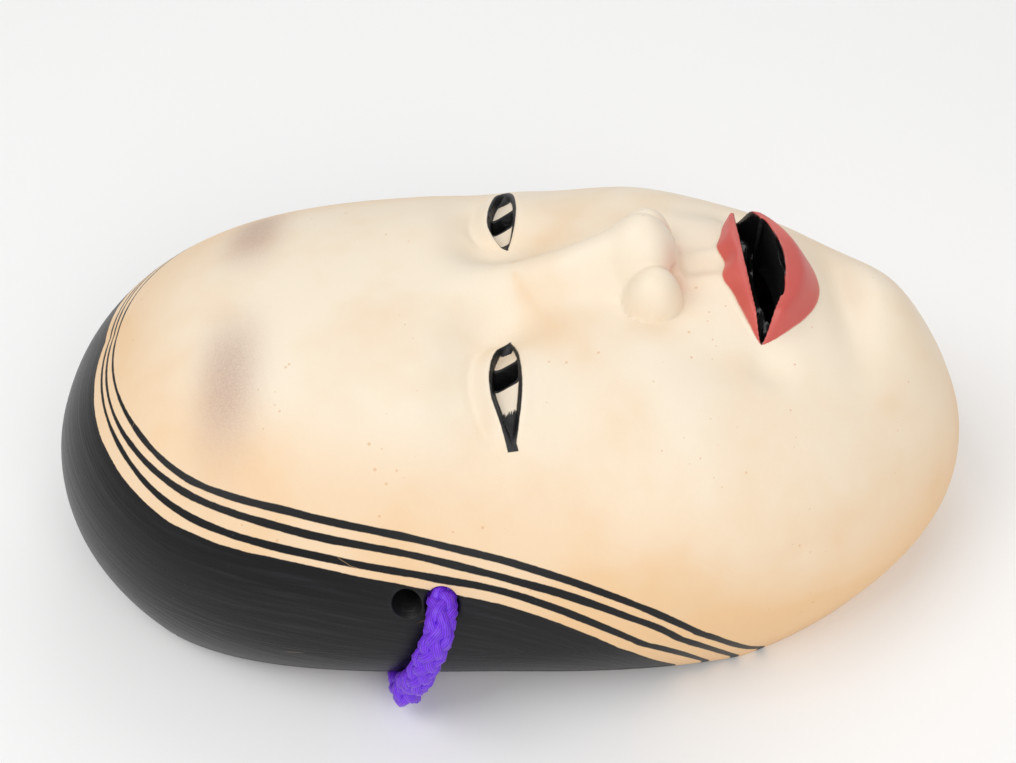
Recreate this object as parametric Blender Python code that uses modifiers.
"""Noh mask of a young woman with its two tie cords, lying on its back.

Metres, +Z up. The crown points to +Y, the chin to -Y, and the face looks up.
The origin is on the table under the middle of the object.
"""
import math

import bmesh
import bpy
import numpy as np
from mathutils import Matrix, Vector

MM = 0.001

# ---------------------------------------------------------------- carved block
LENGTH = 212 * MM           # crown to chin, seven sun
WIDTH = 138 * MM            # across the temples, a little over four and a half sun
DOME = 43 * MM              # rise of the face above the widest line of the side
SIDE = 19 * MM              # height of the side wall at the temples
CROWN_EXTRA = 1 * MM        # how much higher the side wall stands at the crown
WALL = 8 * MM               # thickness left after hollowing
UNDERCUT = 0.055            # share by which the outline draws in at the rim
RIM_ARCH = 8 * MM           # clearance under the rim, where the mask stands on crown and chin
RIM_ARCH_SPAN = 126 * MM
RIM_ARCH_Y = 14 * MM
SKIRT = 0.42                # share of the unit sphere below its equator that forms the side wall

# ---------------------------------------------------------------- face, in the classic canon
EYE_LINE = 0 * MM           # half of the length
EYE_INNER = 16.5 * MM
EYE_OUTER = 45 * MM
NOSE_BASE = -34 * MM        # two thirds of the length
NOSE_RISE = 15 * MM
NOSE_ROOT = 20 * MM
MOUTH_LINE = -55 * MM       # three quarters of the length
MOUTH_HALF = 21.5 * MM
LIP_RISE = 4 * MM
MOUTH_DEPTH = 2.5 * MM
TEETH = 8
PUPIL = 5.4 * MM
PUPIL_X = 27 * MM
NOSTRIL = 5 * MM
NOSTRIL_X = 6.4 * MM

# ---------------------------------------------------------------- tie cords
CORD = 6.4 * MM
HOLE = CORD + 0.6 * MM      # free for the cord
EMPTY_HOLE = 6 * MM         # its neighbour on the crown side
HOLE_Y = 15 * MM
HOLE_Z = 32 * MM
HOLE_PITCH = (HOLE + EMPTY_HOLE) / 2 + 0.5 * MM
TOUCH = 0.3 * MM            # gap left between pieces that touch
STOPPER_KNOT = 11.5 * MM
END_KNOT = 10.5 * MM
COIL_TURNS = 2              # side by side, and as many again in the layer above
COIL_MEAN_RADIUS = 5 * CORD
COIL_LAYERS = 2
TUBE_STEP = 0.5 * CORD

# Route of the right cord from its stopper knot through the hole, down the side, under the
# rim and up to its coil, in millimetres. The left cord starts alike, with x turned round.
# The stopper knot rests on the inside of the wall, so the first points come from the wall.
STOPPER_X = (WIDTH / 2 - 1.2 * WALL - 4 * MM) / MM
OVER_THE_SIDE = [(-STOPPER_X - way, HOLE_Y / MM, HOLE_Z / MM) for way in (0.0, 4.2, 8.6)]
OVER_THE_SIDE += [(-67.9, 15.0, 32.0), (-70.8, 15.4, 31.1), (-72.5, 16.3, 28.4), (-72.7, 17.6, 25.0),
                  (-72.6, 19.2, 20.5), (-72.3, 20.9, 15.5), (-71.6, 22.6, 10.4), (-70.1, 23.9, 5.5),
                  (-65.6, 24.6, 3.5), (-61.2, 24.7, 3.3)]
RIGHT_TO_COIL = [(-57.0, 24.0, 3.3), (-48.6, 21.6, 3.3), (-40.0, 19.0, 3.3), (-30.75, 16.25, 3.3)]
LEFT_TO_COIL = [(57.0, 23.0, 3.3), (51.2, 18.8, 3.3), (45.6, 12.0, 3.3), (41.4, 3.0, 3.3),
                (38.6, -9.0, 3.3), (36.4, -24.3, 3.3)]
RIGHT_COIL = (0, 44)
LEFT_COIL = (0, -44)
RIGHT_END_KNOT = (-28.0, 59.0)
LEFT_END_KNOT = (-27.5, -28.0)

COLLECTION = "noh_mask"
CUTTERS = "cutters"


def clear_scene():
    for obj in list(bpy.data.objects):
        bpy.data.objects.remove(obj, do_unlink=True)


def collection(name):
    group = bpy.data.collections.get(name) or bpy.data.collections.new(name)
    if name not in bpy.context.scene.collection.children:
        bpy.context.scene.collection.children.link(group)
    return group


def material(name, colour, roughness, metallic=0.0):
    mat = bpy.data.materials.new(name)
    mat.use_nodes = True
    shader = mat.node_tree.nodes["Principled BSDF"]
    shader.inputs["Base Color"].default_value = (*colour, 1.0)
    shader.inputs["Roughness"].default_value = roughness
    shader.inputs["Metallic"].default_value = metallic
    return mat


def add_object(name, mesh, mat=None, group=COLLECTION):
    obj = bpy.data.objects.new(name, mesh)
    collection(group).objects.link(obj)
    if mat:
        mesh.materials.append(mat)
    if group == CUTTERS:
        obj.hide_render = True
        obj.display_type = "WIRE"
    return obj


def mesh_from(bm, name):
    bmesh.ops.recalc_face_normals(bm, faces=bm.faces)
    mesh = bpy.data.meshes.new(name)
    bm.to_mesh(mesh)
    bm.free()
    return mesh


# ---------------------------------------------------------------- form of the mask
def smooth(start, end, value):
    t = np.clip((value - start) / (end - start), 0, 1)
    return t * t * (3 - 2 * t)


def hill(x, y, centre_x, centre_y, spread_x, spread_y):
    return np.exp(-((x - centre_x) / spread_x) ** 2 - ((y - centre_y) / spread_y) ** 2)


def outline(t):
    """Half width of the mask, as a share, at t = -1 (chin) to 1 (crown)."""
    crown = np.sqrt(np.clip(1 - np.abs(t) ** 2.8, 0, 1))
    chin = np.sqrt(np.clip(1 - np.abs(t) ** 2.3, 0, 1)) * (1 - 0.10 * t * t)
    return np.where(t > 0, crown, chin)


def crest(t):
    """Height of the middle line, as a share of the dome."""
    crown = np.sqrt(np.clip(1 - np.abs(t) ** 3.4, 0, 1))
    chin = np.sqrt(np.clip(1 - np.abs(t) ** 3.4, 0, 1))
    return np.where(t > 0, crown, chin)


def side_height(t):
    return SIDE + CROWN_EXTRA * smooth(0.45, 1.0, t) - 3 * MM * smooth(0.5, 1.0, -t)


def block(points, inset):
    """Lay the points of a unit sphere on the plain form, set in by a wall."""
    x, y, z = points.T
    above = z >= 0
    ring = np.sqrt(np.maximum(x * x + y * y, 1e-12))
    t = np.clip(np.where(above, y, y / ring), -1, 1)
    across = np.where(above, x, x / ring) / np.sqrt(np.maximum(1 - t * t, 1e-9))
    across = np.clip(across, -1, 1)
    side = side_height(t)
    down = np.clip(-z / SKIRT, 0, 1)
    draw_in = np.where(above, 1, 1 - UNDERCUT * down * down)
    section = np.sqrt(np.clip(1 - np.abs(across) ** 2.3, 0, 1))
    top = side + (DOME - inset) * crest(t) * section
    out_x = (WIDTH / 2 - inset) * outline(t) * across * draw_in
    out_y = (LENGTH / 2 - inset) * t * draw_in
    return np.stack([out_x, out_y, np.where(above, top, side * (1 - down))], axis=1), above


def nose(x, y):
    """Ridge, tip and wings of the nose."""
    along = (y - NOSE_BASE) / (NOSE_ROOT - NOSE_BASE)
    front = smooth(-0.09, 0.10, along)
    slope = np.clip(1.0 - 0.98 * np.clip(along - 0.1, 0, 1) ** 0.8, 0, 1)
    ridge = NOSE_RISE * front * slope
    width = (8.6 - 2.4 * smooth(0.05, 0.55, along) + 6.0 * smooth(0.65, 1.1, along)) * MM
    wings = 7.4 * MM * np.exp(-np.abs((x - 10.4 * MM) / (5.6 * MM)) ** 2.4
                              - np.abs((y - NOSE_BASE - 4 * MM) / (5.8 * MM)) ** 2.4)
    body = ridge * np.exp(-(x / width) ** 2.3)
    return body + wings * (1 - 0.6 * body / NOSE_RISE)


def soft_forms(x, y):
    """Forehead, brows, sockets, cheeks, muzzle and chin."""
    rise = 3.0 * hill(x, y, 0, 60 * MM, 46 * MM, 32 * MM)
    rise += 1.4 * hill(x, y, 25 * MM, 18 * MM, 18 * MM, 8 * MM)
    rise += -4.6 * hill(x, y, 26 * MM, EYE_LINE + 5 * MM, 17 * MM, 10.5 * MM)
    rise += -2.2 * hill(x, y, 13.5 * MM, EYE_LINE + 3 * MM, 6 * MM, 9 * MM)
    rise += 4.0 * hill(x, y, 31.5 * MM, EYE_LINE, 15 * MM, 8.5 * MM)
    rise += 3.6 * hill(x, y, 36 * MM, -28 * MM, 20 * MM, 19 * MM)
    rise += 4.2 * hill(x, y, 0, MOUTH_LINE, 27 * MM, 18 * MM)
    rise += -3.2 * hill(x, y, 0, MOUTH_LINE - 20 * MM, 17 * MM, 5 * MM)
    rise += 8.2 * hill(x, y, 0, MOUTH_LINE - 32 * MM, 19 * MM, 13 * MM)
    return rise * MM


def lid_lines(x):
    """Upper and lower edge of the open eye at x, with the place along it from 0 to 1."""
    along = np.clip((x - EYE_INNER) / (EYE_OUTER - EYE_INNER), 0, 1)
    upper = EYE_LINE + 15.5 * MM * along ** 0.75 * (1 - along) ** 1.25
    lower = EYE_LINE - 8.0 * MM * along ** 0.9 * (1 - along) ** 1.1
    return along, upper, lower


def lip_lines(x):
    """Outer and inner edges of the lips at x: top, opening top, opening bottom, bottom."""
    share = np.clip(x / MOUTH_HALF, 0, 1)
    full = 1 - share ** 2
    middle = MOUTH_LINE + 1.8 * MM * share ** 2
    top = middle + (8.2 * full ** 0.75 + 0.8 * np.exp(-((x - 5.5 * MM) / (3.4 * MM)) ** 2)) * MM
    opening_top = middle + 4.2 * MM * full ** 0.7
    opening_bottom = middle - 5.2 * MM * full ** 0.8
    bottom = middle - 14.0 * MM * full ** 0.72
    return top, opening_top, opening_bottom, bottom


def face_details(x, y):
    """Eyelids, eyes and lips."""
    along, upper, lower = lid_lines(x)
    taper = smooth(0.0, 0.14, along) * smooth(1.0, 0.72, along)
    inside = np.minimum(upper - y, y - lower)
    rise = -2.0 * taper * smooth(-0.2 * MM, 0.9 * MM, inside)
    rise += 1.1 * taper * np.exp(-((y - upper - 1.2 * MM) / (1.6 * MM)) ** 2)
    rise += 0.5 * taper * np.exp(-((y - lower + 1.2 * MM) / (1.5 * MM)) ** 2)
    top, opening_top, opening_bottom, bottom = lip_lines(x)
    edge = smooth(1.0, 0.8, x / MOUTH_HALF)
    over = (y - opening_top) / np.maximum(top - opening_top, 0.5 * MM)
    under = (opening_bottom - y) / np.maximum(opening_bottom - bottom, 0.5 * MM)
    lips = np.exp(-((over - 0.35) / 0.7) ** 2) + 1.2 * np.exp(-((under - 0.4) / 0.6) ** 2)
    corner = hill(x, y, MOUTH_HALF + 4.5 * MM, MOUTH_LINE, 4.5 * MM, 5.5 * MM)
    return rise * MM + LIP_RISE * edge * lips - 2.4 * MM * corner


def outer_form(points):
    """Points of a unit sphere laid on the finished outside."""
    placed, above = block(points, 0.0)
    x = np.abs(placed[:, 0])
    y = placed[:, 1]
    fade = smooth(0.0, 0.35, points[:, 2])
    relief = soft_forms(x, y) * fade + nose(x, y) + face_details(x, y)
    placed[:, 2] += np.where(above, relief, 0)
    return placed


def inner_form(points):
    """Points of a unit sphere laid on the hollow, which follows the face only roughly."""
    placed, above = block(points, WALL)
    x = np.abs(placed[:, 0])
    y = placed[:, 1]
    fade = smooth(0.0, 0.35, points[:, 2])
    ridge = 0.55 * NOSE_RISE * hill(x, y, 0, NOSE_BASE + 8 * MM, 11 * MM, 15 * MM)
    relief = 0.6 * soft_forms(x, y) * fade + ridge
    placed[:, 2] += np.where(above, relief, 0)
    return placed


def sphere_shell(cuts, form, refine):
    """A cube blown up to a sphere, cut level below its equator, closed, and laid on a form."""
    bm = bmesh.new()
    bmesh.ops.create_cube(bm, size=2.0)
    bmesh.ops.subdivide_edges(bm, edges=bm.edges, cuts=cuts, use_grid_fill=True)
    warp = math.pi / 4
    for vert in bm.verts:
        vert.co = Vector([math.tan(c * warp) for c in vert.co]).normalized()
    for level in refine:
        placed = form(np.array([v.co for v in bm.verts]))
        chosen = {v for v, p in zip(bm.verts, placed) if v.co.z > 0 and level(abs(p[0]), p[1])}
        faces = [f for f in bm.faces if all(v in chosen for v in f.verts)]
        edges = list({e for f in faces for e in f.edges})
        bmesh.ops.subdivide_edges(bm, edges=edges, cuts=1, use_grid_fill=True)
        for vert in bm.verts:
            vert.co.normalize()
    bmesh.ops.triangulate(bm, faces=bm.faces)
    geometry = bm.verts[:] + bm.edges[:] + bm.faces[:]
    bmesh.ops.bisect_plane(bm, geom=geometry, dist=1e-6, plane_co=(0, 0, -SKIRT),
                           plane_no=(0, 0, 1), clear_inner=True)
    rim = [e for e in bm.edges if e.is_boundary]
    bmesh.ops.triangle_fill(bm, use_beauty=True, edges=rim)
    for vert, place in zip(bm.verts, form(np.array([v.co for v in bm.verts]))):
        vert.co = Vector(place)
    return bm


def around_face(x, y):
    return x < 52 * MM and -78 * MM < y < 22 * MM


def around_features(x, y):
    eye = EYE_INNER - 4 * MM < x < EYE_OUTER + 2 * MM and abs(y - EYE_LINE) < 9 * MM
    mouth = x < MOUTH_HALF + 4 * MM and abs(y - MOUTH_LINE + 3 * MM) < 17 * MM
    nose_tip = x < 18 * MM and abs(y - NOSE_BASE - 3 * MM) < 9 * MM
    return eye or mouth or nose_tip


# ---------------------------------------------------------------- cutters
def prism_cutter(name, outline_points, bottom, top):
    """A flat outline drawn up from one height to another."""
    bm = bmesh.new()
    verts = [bm.verts.new((x, y, bottom)) for x, y in outline_points]
    face = bm.faces.new(verts)
    made = bmesh.ops.extrude_face_region(bm, geom=[face])["geom"]
    moved = [g for g in made if isinstance(g, bmesh.types.BMVert)]
    bmesh.ops.translate(bm, verts=moved, vec=(0, 0, top - bottom))
    return add_object(name, mesh_from(bm, name), group=CUTTERS)


def rod_cutter(name, start, end, radius, segments=24):
    """A round bar between two points."""
    start = Vector(start)
    end = Vector(end)
    bm = bmesh.new()
    turn = (end - start).to_track_quat("Z", "Y").to_matrix().to_4x4()
    bmesh.ops.create_cone(bm, cap_ends=True, segments=segments, radius1=radius, radius2=radius,
                          depth=(end - start).length, matrix=Matrix.Translation((start + end) / 2) @ turn)
    return add_object(name, mesh_from(bm, name), group=CUTTERS)


def box_cutter(name, centre, size):
    bm = bmesh.new()
    bmesh.ops.create_cube(bm, size=1.0, matrix=Matrix.Translation(centre) @ Matrix.Diagonal((*size, 1)))
    return add_object(name, mesh_from(bm, name), group=CUTTERS)


def cut(obj, cutter):
    """Take the cutter out of the object."""
    boolean = obj.modifiers.new(cutter.name, "BOOLEAN")
    boolean.operation = "DIFFERENCE"
    boolean.solver = "EXACT"
    boolean.object = cutter


def hollow_cutter():
    bm = sphere_shell(12, inner_form, [])
    rim = [v for v in bm.verts if v.co.z < 1e-6]
    for vert in rim:
        vert.co.z = -2 * MM
    return add_object("hollow_cutter", mesh_from(bm, "hollow_cutter"), group=CUTTERS)


def rim_arch_cutter():
    """A round bar across the mask, so that it stands on crown and chin."""
    half = RIM_ARCH_SPAN / 2
    radius = (half ** 2 + RIM_ARCH ** 2) / (2 * RIM_ARCH)
    height = RIM_ARCH - radius
    return rod_cutter("rim_arch_cutter", (-WIDTH, RIM_ARCH_Y, height), (WIDTH, RIM_ARCH_Y, height),
                      radius, segments=256)


def mouth_outline(shares, lower_share):
    """Outline of the open mouth, down to a share of its height."""
    xs = [MOUTH_HALF * s for s in shares]
    upper = []
    lower = []
    for x in xs:
        _, top, bottom, _ = lip_lines(abs(x))
        upper.append((x, float(top)))
        lower.append((x, float(top + (bottom - top) * lower_share)))
    return upper, lower


def mouth_cutters():
    """The open mouth, the slot through the wall below the teeth, and the gaps between the teeth."""
    shares = [math.sin(math.pi * k / 24) * 0.93 for k in range(-12, 13)]
    upper, lower = mouth_outline(shares, 1.0)
    face_level = SIDE + DOME
    recess = prism_cutter("mouth_recess_cutter", upper + lower[::-1], face_level - MOUTH_DEPTH,
                          face_level + 3 * NOSE_RISE)
    slot_shares = [s * 0.86 for s in shares]
    _, edge = mouth_outline(slot_shares, 0.5)
    _, floor = mouth_outline(slot_shares, 1.0)
    slot = prism_cutter("mouth_slot_cutter", edge + floor[::-1], SIDE, face_level)
    gaps = []
    for k in range(TEETH - 1):
        x = MOUTH_HALF * 1.4 * ((k + 1) / TEETH - 0.5)
        _, top, bottom, _ = lip_lines(abs(x))
        centre = (x, float(0.7 * top + 0.3 * bottom), face_level - MOUTH_DEPTH)
        gaps.append(box_cutter(f"tooth_gap_cutter_{k + 1}", centre, (0.8 * MM, 6 * MM, 1.6 * MM)))
    return [recess, slot] + gaps


def side_cutters(side, label):
    """What is cut on one side: pupil, nostril and the two cord holes."""
    half = PUPIL / 2
    _, upper, lower = lid_lines(PUPIL_X)
    middle = float(upper + lower) / 2
    square = [(side * PUPIL_X + half * a, middle + half * b) for a, b in ((-1, -1), (1, -1), (1, 1), (-1, 1))]
    pupil = prism_cutter(f"{label}_pupil_cutter", square, SIDE, SIDE + DOME + NOSE_RISE)
    nostril_top = (side * NOSTRIL_X, NOSE_BASE - 5 * MM, SIDE + DOME + 6 * MM)
    nostril_end = (side * NOSTRIL_X * 0.8, NOSE_BASE + 14 * MM, SIDE + DOME - WALL - 4 * MM)
    nostril = rod_cutter(f"{label}_nostril_cutter", nostril_top, nostril_end, NOSTRIL / 2, 16)
    holes = []
    for name, y, across in (("cord_hole", HOLE_Y, HOLE), ("empty_hole", HOLE_Y + HOLE_PITCH, EMPTY_HOLE)):
        outer = (side * WIDTH / 2 * 1.2, y, HOLE_Z)
        inner = (side * (WIDTH / 2 - 2.2 * WALL), y, HOLE_Z)
        holes.append(rod_cutter(f"{label}_{name}_cutter", outer, inner, across / 2))
    return [pupil, nostril] + holes


def make_mask_body():
    skin = material("gofun_paint", (0.94, 0.86, 0.72), 0.5)
    bm = sphere_shell(18, outer_form, [around_face, around_features])
    body = add_object("mask_body", mesh_from(bm, "mask_body"), skin)
    cutters = [hollow_cutter(), rim_arch_cutter()] + mouth_cutters()
    cutters += side_cutters(-1, "right") + side_cutters(1, "left")
    for cutter in cutters:
        cut(body, cutter)
    body.data.shade_smooth()
    body.data.set_sharp_from_angle(angle=math.radians(45))
    return body


# ---------------------------------------------------------------- cords
def smooth_route(points, step):
    """Points read at even steps from one smooth curve through the route's own points."""
    fine = []
    ends = [points[0]] + points + [points[-1]]
    for before, start, end, after in zip(ends, ends[1:], ends[2:], ends[3:]):
        for k in range(16):
            t = k / 16
            fine.append(0.5 * (2 * start + (end - before) * t
                               + (2 * before - 5 * start + 4 * end - after) * t * t
                               + (3 * start - before - 3 * end + after) * t ** 3))
    fine.append(points[-1])
    lengths = [0.0]
    for a, b in zip(fine, fine[1:]):
        lengths.append(lengths[-1] + (b - a).length)
    count = max(2, round(lengths[-1] / step))
    places = np.linspace(0, lengths[-1], count + 1)
    axes = [np.interp(places, lengths, [p[axis] for p in fine]) for axis in range(3)]
    return [Vector(place) for place in zip(*axes)]


def make_tube(name, route_mm, mat):
    """The stretch of a cord that isn't coiled."""
    points = smooth_route([Vector(p) * MM for p in route_mm], TUBE_STEP)
    curve = bpy.data.curves.new(name, "CURVE")
    curve.dimensions = "3D"
    spline = curve.splines.new("POLY")
    spline.points.add(len(points) - 1)
    for target, place in zip(spline.points, points):
        target.co = (*place, 1)
    curve.bevel_depth = CORD / 2
    curve.bevel_resolution = 4
    curve.use_fill_caps = True
    return add_object(name, curve, mat)


def make_coil(name, centre_mm, mat):
    """Outer shape of the cord's four turns, two side by side and two above: a turned ring."""
    half_width = COIL_TURNS * CORD / 2
    inner = COIL_MEAN_RADIUS - half_width
    outer = COIL_MEAN_RADIUS + half_width
    height = COIL_LAYERS * CORD
    round_off = CORD / 2
    corners = [(outer, 0, 1), (inner, 0, 1), (inner, height, -1), (outer, height, -1)]
    profile = []
    for x, z, up in corners:
        side = 1 if x == inner else -1
        first = (x + side * round_off, z)
        second = (x, z + up * round_off)
        middle = (x + side * round_off * 0.293, z + up * round_off * 0.293)
        pair = [first, middle, second] if (x == inner) == (up == 1) else [second, middle, first]
        profile += pair
    bm = bmesh.new()
    verts = [bm.verts.new((x, 0, z)) for x, z in profile]
    for a, b in zip(verts, verts[1:] + verts[:1]):
        bm.edges.new((a, b))
    mesh = bpy.data.meshes.new(name)
    bm.to_mesh(mesh)
    bm.free()
    obj = add_object(name, mesh, mat)
    obj.location = (centre_mm[0] * MM, centre_mm[1] * MM, 0)
    screw = obj.modifiers.new("turned", "SCREW")
    screw.steps = 48
    screw.render_steps = 48
    screw.use_merge_vertices = True
    screw.merge_threshold = 0.00005
    screw.use_normal_calculate = True
    screw.use_smooth_shade = True
    return obj


def make_knot(name, centre, size, mat):
    """Overhand knot, drawn tight: a slightly flattened ball."""
    bm = bmesh.new()
    bmesh.ops.create_uvsphere(bm, u_segments=20, v_segments=12, radius=size / 2)
    mesh = mesh_from(bm, name)
    mesh.shade_smooth()
    obj = add_object(name, mesh, mat)
    obj.location = centre
    return obj


def make_cord(side, label, to_coil, coil, end_knot, mat):
    """One cord: stopper knot, tube, coil and the knot at its free end."""
    route = [(-side * x, y, z) for x, y, z in OVER_THE_SIDE] + to_coil
    start = Vector(route[0]) * MM
    stopper = start - Vector((side * (STOPPER_KNOT / 2 + TOUCH), 0, 0))
    make_knot(f"{label}_stopper_knot", stopper, STOPPER_KNOT, mat)
    make_tube(f"{label}_cord", route, mat)
    make_coil(f"{label}_cord_coil", coil, mat)
    top = COIL_LAYERS * CORD + TOUCH + END_KNOT / 2
    place = (end_knot[0] * MM, end_knot[1] * MM, top)
    make_knot(f"{label}_end_knot", place, END_KNOT, mat)


def main():
    clear_scene()
    make_mask_body()
    silk = material("braided_silk", (0.16, 0.03, 0.62), 0.55)
    make_cord(-1, "right", RIGHT_TO_COIL, RIGHT_COIL, RIGHT_END_KNOT, silk)
    make_cord(1, "left", LEFT_TO_COIL, LEFT_COIL, LEFT_END_KNOT, silk)


main()
